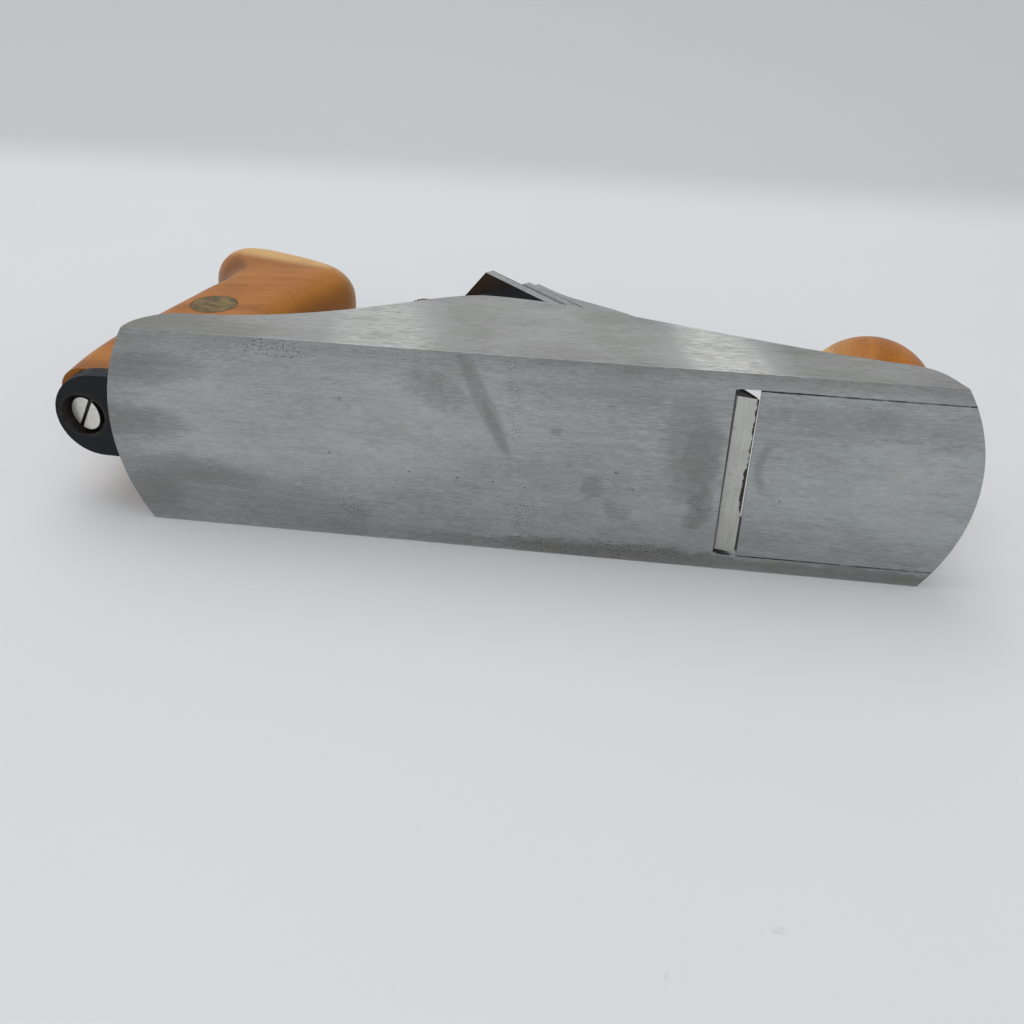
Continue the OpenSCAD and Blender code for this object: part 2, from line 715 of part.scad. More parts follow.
// Grip of the tote: its flat sides meet in a round that runs all the way along the edge
module tote_body() {
    edge = smooth_run(tote_edge, 3);
    last = len(edge) - 1;
    m = len(edge_ring(1));
    outward = [for (i = [0 : last]) let (d = edge[min(i + 1, last)] - edge[max(i - 1, 0)])
        [-d[1], d[0]] / norm(d)];
    polyhedron(
        points = [for (i = [0 : last], r = edge_ring(edge_round(edge[i][1])))
            [edge[i][0] + r[0] * outward[i][0], r[1],
            max(0, edge[i][1] + r[0] * outward[i][1])]],
        faces = concat(
            [for (i = [0 : last - 1], k = [0 : m - 2], half = [0, 1]) half == 0
                ? [i * m + k, (i + 1) * m + k + 1, (i + 1) * m + k]
                : [i * m + k, i * m + k + 1, (i + 1) * m + k + 1]],
            [for (i = [0 : last / 2 - 2]) [i * m, (i + 1) * m, (last - i - 1) * m,
                (last - i) * m]],
            [for (i = [0 : last / 2 - 2]) [(last - i) * m + m - 1, (last - i - 1) * m + m - 1,
                (i + 1) * m + m - 1, i * m + m - 1]],
            [[last / 2 - 1, last / 2, last / 2 + 1] * m],
            [[(last / 2 + 1) * m + m - 1, last / 2 * m + m - 1,
                (last / 2 - 1) * m + m - 1]],
            [concat([for (k = [m - 1 : -1 : 0]) k], [for (k = [0 : m - 1]) last * m + k])]));
}

module tote() {
    color("peru") difference() {
        placed() tote_body();
        placed() translate([-far, -far, base_top - far]) cube([2 * far, 2 * far, far]);
        on_tote_bolt() {
            cylinder(h = base_top + tote_boss_h - head_at[2] + 0.6, r = tote_boss_r + 0.2);
            cylinder(h = bolt_len + 3, r = bolt_r + 0.6);
        }
        on_tote_bolt() translate([0, 0, nut_along]) rotate([90, 0, 0])
            cylinder(h = far, r = barrel_nut_r + 0.2, center = true);
        placed() translate([dowel_x, 0, 0]) cylinder(h = base_top + 8.2, r = dowel_r + 0.1);
    }
}

module tote_bolt() {
    color("gainsboro") on_tote_bolt() difference() {
        union() {
            cylinder(h = bolt_head_t, r = bolt_head_r);
            cylinder(h = bolt_len, r = bolt_r);
        }
        rotate([0, 0, slot_turn]) translate([-0.6, -20, -1]) cube([1.2, 40, 2.1]);
    }
}

module tote_barrel_nut() {
    color("goldenrod") difference() {
        on_tote_bolt() translate([0, 0, nut_along]) rotate([90, 0, 0])
            cylinder(h = tote_t, r = barrel_nut_r, center = true);
        on_tote_bolt() cylinder(h = far, r = bolt_r + shaft_fit);
    }
}

module tote_dowel() {
    color("silver") placed() translate([dowel_x, 0, seat_z + 1.6])
        cylinder(h = frog_base_t - 1.6 + 8, r = dowel_r);
}

body_casting();
toe_plate();
knob_stud();
knob_washer();
knob_insert();
front_knob();
mouth_stop_screw();
frog();
frog_screws();
blade_iron();
cap_iron();
cap_iron_screw();
lever_cap();
lever_cap_screw();
lever_cap_wheel();
adjuster_carriage();
adjuster_spindle();
spindle_collar();
adjuster_barrel();
adjuster_wheel();
tote();
tote_bolt();
tote_barrel_nut();
tote_dowel();
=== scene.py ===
"""Looks and studio of a metal smoothing plane lying on its left wall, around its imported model."""

import json
import math

import bmesh
import bpy
from bpy.props import FloatProperty, FloatVectorProperty, PointerProperty
from bpy.types import Operator, Panel, PropertyGroup
from mathutils import Matrix, Vector


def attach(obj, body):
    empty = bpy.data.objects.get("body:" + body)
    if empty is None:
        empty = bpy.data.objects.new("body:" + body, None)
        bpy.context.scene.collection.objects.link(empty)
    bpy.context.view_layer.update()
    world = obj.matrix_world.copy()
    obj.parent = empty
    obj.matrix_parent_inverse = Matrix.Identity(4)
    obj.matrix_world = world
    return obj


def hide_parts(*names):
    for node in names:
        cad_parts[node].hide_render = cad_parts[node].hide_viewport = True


bl_info = {
    "name": "Smoothing plane finishes",
    "version": (1, 0, 0),
    "blender": (4, 5, 0),
    "location": "3D View > Sidebar > Plane",
    "description": "Finishes every piece of a smoothing plane and sets it in a pale studio",
    "category": "Object",
}

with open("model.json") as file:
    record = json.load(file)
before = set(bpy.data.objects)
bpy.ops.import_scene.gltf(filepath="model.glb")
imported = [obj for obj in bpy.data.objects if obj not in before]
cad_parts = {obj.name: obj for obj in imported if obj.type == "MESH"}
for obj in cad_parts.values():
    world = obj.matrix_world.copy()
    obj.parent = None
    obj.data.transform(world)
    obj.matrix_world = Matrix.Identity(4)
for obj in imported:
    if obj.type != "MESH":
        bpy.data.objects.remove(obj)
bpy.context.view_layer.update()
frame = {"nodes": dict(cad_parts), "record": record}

MM = 0.001
# Middle of the plane's length, counted from the heel-side edge of the mouth
MID = -66.75
# The bed: the cutting edge, and the half turn that carries a point of the bed to the sole's axes
EDGE = (6.5, 0.3)
HALF = math.sqrt(0.5)
# Edge of the tote's flat side, as in the part's source, and the round that runs along it
TOTE_EDGE = (
    (-191.4, 0), (-191.8, 10), (-191.9, 20), (-191.5, 36), (-190.5, 45), (-188.8, 54),
    (-186.8, 63), (-184.6, 72), (-182.5, 80), (-180.6, 88), (-177, 99.5), (-176.2, 107.5),
    (-179.3, 116.7), (-184.8, 125.6), (-185.9, 130.2), (-178.8, 129.5), (-164, 123.4),
    (-153.5, 117.6), (-149.7, 112), (-152, 104), (-155.8, 93), (-160, 82), (-163.5, 70),
    (-162.5, 57), (-155, 44), (-140, 32), (-126, 22), (-121, 12), (-122, 0))
TOTE_HALF, TOTE_ROUND, TOTE_FOOT_ROUND, TOTE_FOOT_Z = 13.0, 12.0, 7.6, 10.6
# Axis of the barrel nut across the tote, and its radius
NUT_AT, NUT_R = (-176.64, 69.98), 7.9
# Seams of the toe plate, on both sides of the middle, its thickness and the mouth's front edge
SEAM_Y, PLATE_T, MOUTH_FRONT = 26.95, 6.1, 6.9
# Paint inside the body: half width between the walls, top of the floor and reach along it
PAINT_HALF, PAINT_FLOOR, PAINT_REACH = 27.3, 3.4, 118.0
# The frog's machined bed, off the blade's upper face
BED_OFF = -3.3
# Middle of the tote bolt's slotted face, and the rake of its axis
BOLT_AT, BOLT_RAKE = (-195.0, 5.96), 16.0
# Left wall's outer face, on which the plane lies
REST_Y = 32.05 * MM
# Axes of the camera's picture: to the right, down and ahead
VIEW_RIGHT = (0.990879, -0.020014, 0.133266)
VIEW_DOWN = (0.087058, 0.849926, -0.519662)
VIEW_AHEAD = (-0.102866, 0.526524, 0.843916)
# The paper in metres: half width, near end, start and radius of its curve, and height behind
PAPER_HALF, PAPER_NEAR, PAPER_FOLD, PAPER_CURVE, PAPER_LIFT = 2.2, -1.6, 0.50, 0.25, 1.8
# The point that the lights face, and each side light: name, place, size and share of the power
LIGHT_AIM = (0.0, 0.0, 0.04)
SIDE_LIGHTS = (
    ("front_light", (0.15, -0.55, -1.1), 0.9, 2.3), ("heel_light", (-1.2, -0.4, 0.1), 0.9, 1.0),
    ("toe_light", (1.2, -0.4, 0.1), 0.9, 1.0), ("under_light", (0.1, 1.15, 0.15), 1.1, 1.4),
    ("far_light", (0.0, -0.3, 1.25), 0.9, 1.0))


def at(x, y=0.0, z=0.0):
    """A point in metres from millimetres counted from the mouth's heel-side edge."""
    return Vector(((x - MID) * MM, y * MM, z * MM))


def bed(off, y, up):
    """A point in metres from millimetres off the blade's face, across it and up the bed."""
    return at(EDGE[0] + (off - up) * HALF, y, EDGE[1] + (off + up) * HALF)


def tint(red, green, blue):
    """Linear colour from a colour given in the usual 0 to 255 steps."""
    def linear(step):
        c = step / 255.0
        return c / 12.92 if c <= 0.04045 else ((c + 0.055) / 1.055) ** 2.4
    return (linear(red), linear(green), linear(blue))


class Value:
    """Output of a shader node. Sums and products of it add Math nodes to its material."""

    def __init__(self, maker, socket):
        self.maker, self.socket = maker, socket

    def _sum(self, operation, first, second):
        return self.maker.add("ShaderNodeMath", {"operation": operation}, {0: first, 1: second})

    def __add__(self, other):
        return self._sum("ADD", self, other)

    def __radd__(self, other):
        return self._sum("ADD", other, self)

    def __sub__(self, other):
        return self._sum("SUBTRACT", self, other)

    def __rsub__(self, other):
        return self._sum("SUBTRACT", other, self)

    def __mul__(self, other):
        return self._sum("MULTIPLY", self, other)

    def __rmul__(self, other):
        return self._sum("MULTIPLY", other, self)

    def __truediv__(self, other):
        return self._sum("DIVIDE", self, other)

    def __pow__(self, other):
        return self._sum("POWER", self, other)

    def __abs__(self):
        return self._sum("ABSOLUTE", self, 0.0)

    def least(self, other):
        return self._sum("MINIMUM", self, other)

    def most(self, other):
        return self._sum("MAXIMUM", self, other)

    def ease(self, low, high, start=0.0, end=1.0):
        """Goes smoothly from start to end as the value goes from low to high."""
        if low > high:
            low, high, start, end = high, low, end, start
        return self.maker.add("ShaderNodeMapRange", {"interpolation_type": "SMOOTHSTEP"},
                              {0: self, 1: low, 2: high, 3: start, 4: end})


class Maker:
    """Adds nodes to one shader tree."""

    def __init__(self, tree):
        self.tree = tree
        tree.nodes.clear()

    def put(self, socket, value):
        if isinstance(value, Value):
            self.tree.links.new(value.socket, socket)
        elif isinstance(value, (tuple, list)) and len(socket.default_value) == 4:
            socket.default_value = tuple(value)[:3] + (1.0,)
        else:
            socket.default_value = value

    def add(self, kind, settings=None, sockets=None, out=0):
        """A new node: its settings first, then the values or links of its sockets."""
        node = self.tree.nodes.new(kind)
        for key, value in (settings or {}).items():
            if key == "stops":
                for _ in range(len(value) - 2):
                    node.color_ramp.elements.new(0.5)
                for stop, (place, colour) in zip(node.color_ramp.elements, value):
                    stop.position, stop.color = place, tuple(colour)[:3] + (1.0,)
            else:
                setattr(node, key, value)
        for key, value in (sockets or {}).items():
            self.put(node.inputs[key], value)
        return Value(self, node.outputs[out])

    def mix(self, amount, first, second, blend="MIX"):
        return self.add("ShaderNodeMix", {"data_type": "RGBA", "blend_type": blend},
                        {0: amount, 6: first, 7: second}, 2)


class Finish(Maker):
    """One material, built up from nodes around a single main shader."""

    def __init__(self, name, **constants):
        self.material = bpy.data.materials.new(name)
        self.material.use_nodes = True
        Maker.__init__(self, self.material.node_tree)
        self.shader = self.tree.nodes.new("ShaderNodeBsdfPrincipled")
        self.output = self.tree.nodes.new("ShaderNodeOutputMaterial")
        self.tree.links.new(self.shader.outputs[0], self.output.inputs[0])
        for key, value in constants.items():
            self.shader.inputs[key.replace("_", " ")].default_value = value

    def set(self, **links):
        for key, value in links.items():
            self.put(self.shader.inputs[key.replace("_", " ")], value)
        return self.material

    def place(self):
        """Place on the piece, in metres along the plane's own axes."""
        return self.add("ShaderNodeTexCoord", out="Object")

    def facing(self):
        """Direction that the surface faces."""
        return self.add("ShaderNodeNewGeometry", out="Normal")

    def split(self, vector):
        """The three parts of a vector."""
        first = self.add("ShaderNodeSeparateXYZ", None, {0: vector})
        node = first.socket.node
        return first, Value(self, node.outputs[1]), Value(self, node.outputs[2])

    def turned(self, vector, degrees):
        """The vector turned about the plane's cross axis."""
        return self.add("ShaderNodeVectorRotate", {"rotation_type": "Y_AXIS"},
                        {0: vector, 3: math.radians(degrees)})

    def noise(self, vector, stretch, detail=2.0, rough=0.5, warp=0.0):
        """Noise with so many waves to the metre along each axis."""
        if not isinstance(stretch, (tuple, list)):
            stretch = (stretch,) * 3
        scaled = self.add("ShaderNodeVectorMath", {"operation": "MULTIPLY"},
                          {0: vector, 1: tuple(stretch)})
        return self.add("ShaderNodeTexNoise", None, {
            "Vector": scaled, "Scale": 1.0, "Detail": detail, "Roughness": rough,
            "Distortion": warp})

    def bump(self, height, strength, distance):
        return self.add("ShaderNodeBump", None, {
            "Strength": strength, "Distance": distance, "Height": height})

    def spot(self, x, y, centre, size, degrees=0.0, soft=0.6):
        """A soft oval mark on the sole: 1 inside, 0 outside. Millimetres from the mouth."""
        middle = at(centre[0], centre[1])
        c, s = math.cos(math.radians(degrees)), math.sin(math.radians(degrees))
        dx, dy = x - middle.x, y - middle.y
        along = (dx * c + dy * s) / (size[0] * MM)
        across = (dy * c - dx * s) / (size[1] * MM)
        return (along * along + across * across).ease(1.0 + soft, 1.0 - soft)


class SteelValues(PropertyGroup):
    ground: FloatVectorProperty(
        name="Ground steel", description="Colour of the ground sole and walls",
        default=tint(171, 173, 174), size=3, subtype="COLOR", min=0, max=1)
    blade: FloatVectorProperty(
        name="Blade steel", description="Colour of the blade and the cap iron",
        default=tint(186, 187, 186), size=3, subtype="COLOR", min=0, max=1)
    cap: FloatVectorProperty(
        name="Lever cap steel", description="Colour of the blasted lever cap",
        default=tint(176, 177, 176), size=3, subtype="COLOR", min=0, max=1)
    dark: FloatVectorProperty(
        name="Blackened steel", description="Colour of the small blackened pieces",
        default=tint(62, 62, 64), size=3, subtype="COLOR", min=0, max=1)
    stains: FloatProperty(
        name="Stains", description="Depth of the old stains on the sole",
        default=1.0, min=0.0, max=2.0, subtype="FACTOR")


class BrassValues(PropertyGroup):
    bright: FloatVectorProperty(
        name="Bright brass", description="Colour of the wheels' brass",
        default=tint(205, 170, 103), size=3, subtype="COLOR", min=0, max=1)
    dull: FloatVectorProperty(
        name="Dull brass", description="Colour of the tarnished nut in the tote",
        default=tint(135, 115, 72), size=3, subtype="COLOR", min=0, max=1)


class WoodValues(PropertyGroup):
    heart: FloatVectorProperty(
        name="Heartwood", description="Main colour of the tote and the knob",
        default=tint(176, 111, 37), size=3, subtype="COLOR", min=0, max=1)
    deep_grain_and_shade: FloatVectorProperty(
        name="Deep grain", description="Colour of the darker grain",
        default=tint(130, 73, 19), size=3, subtype="COLOR", min=0, max=1)
    pale: FloatVectorProperty(
        name="Sapwood", description="Colour of the pale streaks",
        default=tint(206, 166, 106), size=3, subtype="COLOR", min=0, max=1)


class PaintValues(PropertyGroup):
    paint: FloatVectorProperty(
        name="Casting paint", description="Colour of the paint on the frog and inside the body",
        default=tint(11, 14, 21), size=3, subtype="COLOR", min=0, max=1)


class EdgeValues(PropertyGroup):
    casting: FloatProperty(
        name="Casting edges", description="Width by which the castings' edges are broken",
        default=0.22 * MM, min=0.05 * MM, max=0.8 * MM, unit="LENGTH")
    plate: FloatProperty(
        name="Plate edges", description="Width by which the edges of the steel plates are broken",
        default=0.25 * MM, min=0.05 * MM, max=0.5 * MM, unit="LENGTH")
    small: FloatProperty(
        name="Small edges", description="Width by which the edges of small pieces are broken",
        default=0.2 * MM, min=0.05 * MM, max=0.4 * MM, unit="LENGTH")


class StudioValues(PropertyGroup):
    camera: FloatVectorProperty(
        name="Camera", description="Place of the camera",
        default=(0.038787, -0.148924, -0.268348), size=3, subtype="TRANSLATION", unit="LENGTH")
    lens: FloatProperty(
        name="Lens", description="Focal length in millimetres on a sensor 36 mm wide",
        default=37.16, min=20, max=100)
    floor: FloatVectorProperty(
        name="Floor", description="Colour of the paper under and behind the plane",
        default=tint(209, 211, 213), size=3, subtype="COLOR", min=0, max=1)
    key: FloatProperty(
        name="Top light", description="Power of the large soft light over the floor, in watts",
        default=8.2, min=0, max=60)
    fill: FloatProperty(
        name="Side lights", description="Power of each of the soft lights round the plane",
        default=2.2, min=0, max=30)
    world: FloatProperty(
        name="Room", description="Brightness of the pale room", default=0.62, min=0, max=1)


PLACES = (("steel", SteelValues), ("brass", BrassValues), ("wood", WoodValues),
          ("paint", PaintValues), ("edges", EdgeValues), ("studio", StudioValues))


def values(name):
    return getattr(bpy.context.scene, "plane_" + name)


def body_of(node):
    return next(body for body, nodes in frame["record"]["behaviour"]["bodies"].items()
                if node in nodes)


def skin(node, material, width, angle=32.0, crisp=14.0):
    """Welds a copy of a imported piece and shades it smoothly. Edges over one angle are broken,
    and slighter ones down to the other stay crisp."""
    source = frame["nodes"][node]
    mesh = source.data.copy()
    mesh.name = node + "_skin"
    shape = bmesh.new()
    shape.from_mesh(mesh)
    bmesh.ops.remove_doubles(shape, verts=shape.verts, dist=0.002 * MM)
    bmesh.ops.dissolve_degenerate(shape, edges=shape.edges, dist=0.001 * MM)
    bmesh.ops.dissolve_limit(shape, angle_limit=math.radians(0.4), verts=shape.verts,
                             edges=shape.edges, use_dissolve_boundaries=False)
    for face in shape.faces:
        face.smooth = True
    for edge in shape.edges:
        if len(edge.link_faces) == 2:
            bend = math.degrees(edge.calc_face_angle(0.0))
            edge.smooth = not crisp < bend < angle
    shape.to_mesh(mesh)
    shape.free()
    if "custom_normal" in mesh.attributes:
        mesh.attributes.remove(mesh.attributes["custom_normal"])
    piece = take_place(node, mesh, material)
    bevel = piece.modifiers.new("broken_edges", "BEVEL")
    bevel.width, bevel.segments, bevel.limit_method = width, 2, "ANGLE"
    bevel.angle_limit, bevel.harden_normals = math.radians(angle), True
    bevel.use_clamp_overlap = True
    return piece


def take_place(node, mesh, material):
    """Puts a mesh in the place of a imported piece, on the same body and in the same slot."""
    mesh.materials.clear()
    mesh.materials.append(material)
    piece = bpy.data.objects.new(node + "_skin", mesh)
    bpy.context.scene.collection.objects.link(piece)
    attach(piece, body_of(node))
    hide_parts(node)
    return piece


def smooth_run(points, steps):
    """Smooth curve through all points, with so many steps between each two."""
    ends = [2 * points[0] - points[1]] + points + [2 * points[-1] - points[-2]]
    run = []
    for a, b, c, d in zip(ends, ends[1:], ends[2:], ends[3:]):
        for k in range(steps):
            t = k / steps
            run.append(0.5 * (2 * b + (c - a) * t + (2 * a - 5 * b + 4 * c - d) * t * t
                              + (3 * b - a - 3 * c + d) * t * t * t))
    return run + [points[-1]]


def tote_mesh():
    """Grip of the tote with a finer rounding: flat sides that meet in a round along the edge."""
    edge = smooth_run([Vector(p) for p in TOTE_EDGE], 8)
    last = len(edge) - 1
    arc = [90 - 7.5 * k for k in range(13)]
    shape = bmesh.new()
    rings = []
    for i, (x, z) in enumerate(edge):
        along = edge[min(i + 1, last)] - edge[max(i - 1, 0)]
        out = Vector((-along.y, along.x)).normalized()
        t = max(0.0, min(1.0, (z - 20) / 45))
        r = TOTE_FOOT_ROUND + (TOTE_ROUND - TOTE_FOOT_ROUND) * t * t * (3 - 2 * t)
        ring = []
        for side in (1, -1):
            for a in arc[::side]:
                off = TOTE_ROUND - r + r * math.cos(math.radians(a))
                y = side * (TOTE_HALF - r + r * math.sin(math.radians(a)))
                ring.append(shape.verts.new(at(x + off * out.x, y, z + off * out.y)))
        rings.append(ring)
    for first, second in zip(rings, rings[1:]):
        for k in range(len(first) - 1):
            shape.faces.new((first[k], first[k + 1], second[k + 1], second[k]))
    for k in (0, -1):
        for i in range(last // 2 - 1):
            shape.faces.new((rings[i][k], rings[i + 1][k], rings[last - i - 1][k],
                             rings[last - i][k]))
        shape.faces.new([rings[last // 2 + j][k] for j in (-1, 0, 1)])
    bmesh.ops.remove_doubles(shape, verts=shape.verts, dist=0.002 * MM)
    cut = bmesh.ops.bisect_plane(
        shape, geom=shape.verts[:] + shape.edges[:] + shape.faces[:],
        plane_co=at(0, 0, TOTE_FOOT_Z), plane_no=(0, 0, 1), clear_inner=True)
    rim = [e for e in cut["geom_cut"] if isinstance(e, bmesh.types.BMEdge)]
    bmesh.ops.holes_fill(shape, edges=rim)
    bmesh.ops.recalc_face_normals(shape, faces=shape.faces)
    for face in shape.faces:
        face.smooth = abs(face.normal.z) < 0.999 or face.calc_center_median().z > 0.02
    mesh = bpy.data.meshes.new("tote_skin")
    shape.to_mesh(mesh)
    shape.free()
    return mesh


# Marks on the sole: middle, half lengths, turn in degrees, softness and depth
STAINS = (
    ((-69.5, -17), (17, 2.5), 66, 0.7, 0.2), ((-66, -9), (10, 1.3), 66, 0.7, 0.12),
    ((-9, -6), (8, 15), -6, 1.0, 0.25), ((-6.5, -5), (4.5, 10), 0, 1.0, 0.18),
    ((-6, 12), (3.4, 7), 12, 0.9, 0.24), ((-37.5, 7.8), (3.0, 3.4), 0, 1.0, 0.22),
    ((-48, -9.7), (1.8, 1.8), 0, 1.0, 0.2), ((-30, 15), (4, 3), 40, 0.9, 0.16),
    ((-176, -2), (15, 5), 0, 1.0, 0.26), ((-168, -20), (16, 4.5), -4, 1.0, 0.22),
    ((-158, 13), (20, 4), 4, 1.0, 0.2), ((-176, 21), (12, 6), 0, 1.0, 0.16),
    ((-84, -20), (9, 5), 30, 1.0, 0.14), ((-28, 29.5), (31, 3.2), 0, 1.0, 0.34),
    ((40, 30), (30, 2.6), 0, 0.8, 0.26), ((52, -20), (18, 6), 8, 1.0, 0.08),
    ((-142, 21), (34, 7), 4, 1.0, 0.15), ((28, -19), (34, 5), 2, 1.0, 0.13),
    ((36, 20), (30, 5), 0, 1.0, 0.09), ((-30, -24), (28, 4.5), 0, 1.0, 0.12),
    ((-70, 30), (22, 2.2), 0, 1.0, 0.2))
# Clusters of tiny pits, in the same order
PITTED = (
    ((-60.5, -15), (2.6, 17), -6, 1.0, 0.85), ((-130, -29.5), (8, 3.6), 0, 1.0, 1.0),
    ((-110, 22.5), (5, 7), 0, 1.0, 0.9), ((-57, 20), (4, 7), 0, 1.0, 1.0),
    ((-6, 12), (3, 6), 0, 1.0, 0.9), ((-34, 29), (40, 3.6), 0, 1.0, 1.15),
    ((-83, -22), (4, 4), 0, 1.0, 0.8), ((-115, -29.5), (70, 2.6), 0, 1.0, 0.7),
    ((-66, 6), (4, 5), 0, 1.0, 0.7), ((-150, 2), (40, 26), 0, 1.0, 0.25))
# Painted highlights on the wall: place along it, half length and depth
PAINTED_HIGHLIGHTS = ((-98, 13, 0.5), (-1, 10, 0.95))
# Single pits
DOTS = ((-92, 7.5), (-77.2, 8.2), (-116, 3.3), (-30.6, 2.2), (-25.3, 7.2), (16.7, 7.0),
        (-111.7, -15), (-66.5, 8.7), (-57, 9.6))


def ground_steel(name, inside):
    """Steel ground along the plane's length, stained and pitted with age. A casting's inside,
    where it isn't ground, is painted."""
    steel = values("steel")
    m = Finish(name, Metallic=1.0, Specular_IOR_Level=0.5)
    where = m.place()
    x, y, z = m.split(where)
    nx, ny, nz = m.split(m.facing())
    fine = m.noise(where, (340, 2700, 2700), 3.0, 0.6)
    coarse = m.noise(where, (80, 760, 760), 3.0, 0.55)
    brushed = m.noise(where, (18, 520, 520), 2.0, 0.5)
    scratch = m.noise(where, (70, 3400, 3400), 2.0, 0.6).ease(0.63, 0.72)
    cloud = m.noise(where, (24, 46, 46), 4.0, 0.6, 0.4)
    mottle = m.noise(where, (170, 420, 420), 4.0, 0.65)
    drift = m.noise(where, 190, 3.0, 0.6)
    # Darker rims and a darker heel, and marks whose edges wander
    rim = abs(y).ease(26 * MM, 32 * MM) * (x.ease(at(-64).x, at(-50).x) * 0.65 + 0.35)
    heel = x.ease(at(-150).x, at(-188).x)
    sole = nz.ease(-0.5, -0.9)
    wide, high = x + (drift - 0.5) * (9 * MM), y + (mottle - 0.5) * (8 * MM)
    stain = heel * 0.1 + rim * 0.18 + 0.03
    for centre, size, degrees, soft, depth in STAINS:
        # The sharpest streaks are straight, and the rest wander
        along, across = (x, y) if soft < 0.75 else (wide, high)
        stain = stain + m.spot(along, across, centre, size, degrees, soft) * depth
    # Ghost of a round mark on the toe plate
    ring = (m.spot(x, y, (15.6, -3), (7.6, 9.8), 0, 0.3)
            - m.spot(x, y, (17, -3), (6.6, 8.4), 0, 0.3))
    stain = stain + ring.most(0.0) * x.ease(at(15).x, at(10).x) * 0.2
    stain = stain * (mottle * 0.8 + 0.6) * sole
    pale = (m.spot(wide, high, (-122, -7), (54, 17), 0, 0.9)
            + m.spot(wide, high, (38, 8), (28, 15), 0, 0.9))
    pepper = 0.0
    for centre, size, degrees, soft, depth in PITTED:
        pepper = m.spot(wide, high, centre, size, degrees, soft) * depth + pepper
    grit = m.noise(where, 1600, 3.0, 0.7)
    pits = (grit - (0.71 - pepper.least(1.0) * 0.15)).ease(0.0, 0.05) * sole
    for centre in DOTS:
        pits = pits + m.spot(x, y, centre, (0.4, 0.3), 0, 0.5) * 0.75
    pits = pits.least(1.0)
    # The toe plate is a little bluer than the casting
    ground = tuple(steel.ground) if inside else tuple(
        c * k for c, k in zip(steel.ground, (0.98, 1.0, 1.01)))
    lines = ((fine - 0.5) * 0.75 + (coarse - 0.5) * 0.26 + (brushed - 0.5) * 0.14
             - scratch * 0.22)
    shade = (lines + (cloud - 0.5) * 0.5 + (mottle - 0.5) * 0.2 + 0.5 + pale * 0.12 * sole
             - stain * steel.stains)
    # Painted reflection on the wall that faces the light: darker at the heel, brighter towards the
    # toe
    wall = ny.ease(-0.6, -0.9) * y.ease(-31.5 * MM, -32 * MM)
    painted_reflection = (x.ease(at(-176).x, at(-112).x) * 0.46 - 0.38
            + m.spot(x, z, (-97, 0), (20, 60), 14, 0.9) * 0.24
            + m.spot(x, z, (-1, 0), (15, 60), 12, 0.9) * 0.5 - x.ease(at(4).x, at(18).x) * 0.12)
    shade = shade + wall * (painted_reflection + (cloud - 0.5) * 0.35 + (fine - 0.5) * 0.5 - scratch * 0.25)
    base = m.mix(shade.ease(0.0, 1.0), tuple(c * k for c, k in zip(ground, (0.56, 0.55, 0.53))),
                 tuple(min(1.0, c * 1.26) for c in ground))
    # Painted light: the wall that faces the light is mixed a quarter of the way towards a warm
    # light grey
    base = m.mix(wall * 0.25, base, tint(190, 182, 168))
    # Painted highlights in places on the wall, broken up by the fine scratches
    painted_highlight = 0.0
    for along, half, depth in PAINTED_HIGHLIGHTS:
        painted_highlight = m.spot(x, z, (along, 0), (half, 60), 14, 0.9) * depth + painted_highlight
    painted_highlight = painted_highlight * (brushed.ease(0.3, 0.7) * 0.25 + fine.ease(0.35, 0.65) * 0.95)
    base = m.mix((painted_highlight * wall).least(1.0), base, tint(246, 244, 238))
    blush = m.spot(wide, high, (52, -4), (8, 17), 0, 1.0) * sole
    base = m.mix(blush * mottle.ease(0.35, 0.65) * 0.3, base, tint(186, 175, 166))
    hue = m.noise(where, (44, 90, 90), 3.0, 0.6)
    base = m.mix(hue.ease(0.52, 0.68) * 0.16, base, tint(148, 142, 144))
    base = m.mix(hue.ease(0.48, 0.34) * 0.2, base, tint(138, 142, 126))
    base = m.mix((rim * mottle.ease(0.4, 0.7) * 0.4).least(1.0) * sole, base,
                 tint(112, 103, 92))
    base = m.mix(pits * 0.7, base, tint(58, 52, 48))
    seam = abs(abs(y) - SEAM_Y * MM).ease(0.36 * MM, 0.14 * MM)
    seam = seam * x.ease(at(MOUTH_FRONT - 0.1).x, at(MOUTH_FRONT + 0.1).x)
    seam = seam * z.ease((PLATE_T + 0.2) * MM, (PLATE_T - 0.2) * MM)
    broken = m.noise(where, (260, 40, 40), 3.0, 0.6).ease(0.36, 0.6) * 0.5 + 0.25
    base = m.mix(seam * broken, base, tint(34, 34, 36))
    rough = (0.38 + (cloud - 0.5) * 0.16 + stain * 0.1 + pits * 0.2 - lines * 0.05
             + seam * 0.3)
    height = fine * 0.6 + coarse * 0.25 - pits * 0.8 - seam * 0.5
    grind = m.bump(height, 0.13, 0.06 * MM)
    if not inside:
        return m.set(Base_Color=base, Roughness=rough.most(0.2).least(0.8), Normal=grind)
    # Painted inside: between the walls and above the floor, except where it faces outwards
    ends = abs(nx).ease(0.35, 0.6) * abs(x).ease(PAINT_REACH * MM, (PAINT_REACH + 3) * MM)
    painted = (abs(y).ease((PAINT_HALF + 0.1) * MM, (PAINT_HALF - 0.05) * MM)
               * z.ease((PAINT_FLOOR - 0.2) * MM, (PAINT_FLOOR + 0.2) * MM)
               * (1.0 - ends)).ease(0.35, 0.65)
    orange = m.noise(where, 520, 3.0, 0.6)
    paint = tuple(values("paint").paint)
    coat = m.mix(orange.ease(0.3, 0.8), paint, tuple(c * 1.5 for c in paint))
    peel = m.bump(orange + m.noise(where, 1500, 2.0) * 0.4, 0.35, 0.12 * MM)
    base = m.mix(painted, base, coat)
    rough = rough * (1.0 - painted) + painted * (0.42 + (orange - 0.5) * 0.2)
    normal = m.add("ShaderNodeMix", {"data_type": "VECTOR"}, {0: painted, 4: grind, 5: peel}, 1)
    return m.set(Base_Color=base, Roughness=rough.most(0.2).least(0.8), Normal=normal,
                 Metallic=1.0 - painted)


